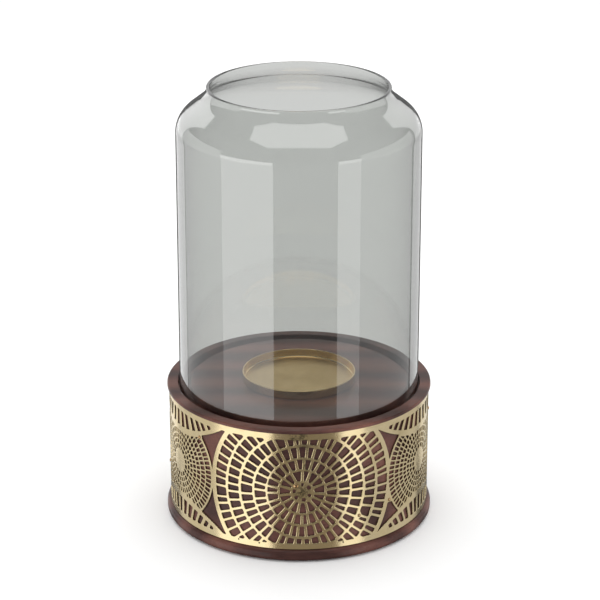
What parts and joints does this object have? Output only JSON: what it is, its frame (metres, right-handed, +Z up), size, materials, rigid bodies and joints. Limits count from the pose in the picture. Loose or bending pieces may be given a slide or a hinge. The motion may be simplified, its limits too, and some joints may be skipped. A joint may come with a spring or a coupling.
{
  "type": "hurricane candle holder",
  "caption": "Open-topped glass chimney standing in the groove of a round turned wood base with a pierced brass band, round a shallow brass candle plate.",
  "frame": {"origin": "centre of the underside, on the surface that the holder stands on", "axes": "+Z up along the turned axis, -Y to the front, where the middle of the band's large front wheel lies"},
  "size_m": [0.1842, 0.1842, 0.3048],
  "materials": {
    "wood": "dark stained hardwood under satin lacquer",
    "band_brass": "pale antiqued brass, satin, hand pierced",
    "plate_brass": "polished wall, satin floor",
    "glass": "clear blown soda glass with a faint grey-green tint",
    "felt": "black wool felt",
    "screw_steel": "zinc plated"
  },
  "bodies": {
    "base": {"base_drum": "wood", "base_plinth": "wood", "felt_pad": "felt", "brass_band": "band_brass", "plinth_screw_1": "screw_steel", "plinth_screw_2": "screw_steel", "plinth_screw_3": "screw_steel", "plinth_screw_4": "screw_steel", "band_pin_01": "band_brass", "band_pin_02": "band_brass", "band_pin_03": "band_brass", "band_pin_04": "band_brass", "band_pin_05": "band_brass", "band_pin_06": "band_brass", "band_pin_07": "band_brass", "band_pin_08": "band_brass", "band_pin_09": "band_brass", "band_pin_10": "band_brass", "band_pin_11": "band_brass", "band_pin_12": "band_brass", "band_pin_13": "band_brass", "band_pin_14": "band_brass", "band_pin_15": "band_brass", "band_pin_16": "band_brass"},
    "chimney": {"glass_chimney": "glass"},
    "plate": {"candle_plate": "plate_brass"}
  },
  "joints": [
    {"name": "chimney_lift", "type": "slide", "parent": "base", "child": "chimney", "axis": [0, 0, 1], "range_m": [0, 0.16]},
    {"name": "plate_lift", "type": "slide", "parent": "base", "child": "plate", "axis": [0, 0, 1], "range_m": [0, 0.215]}
  ]
}
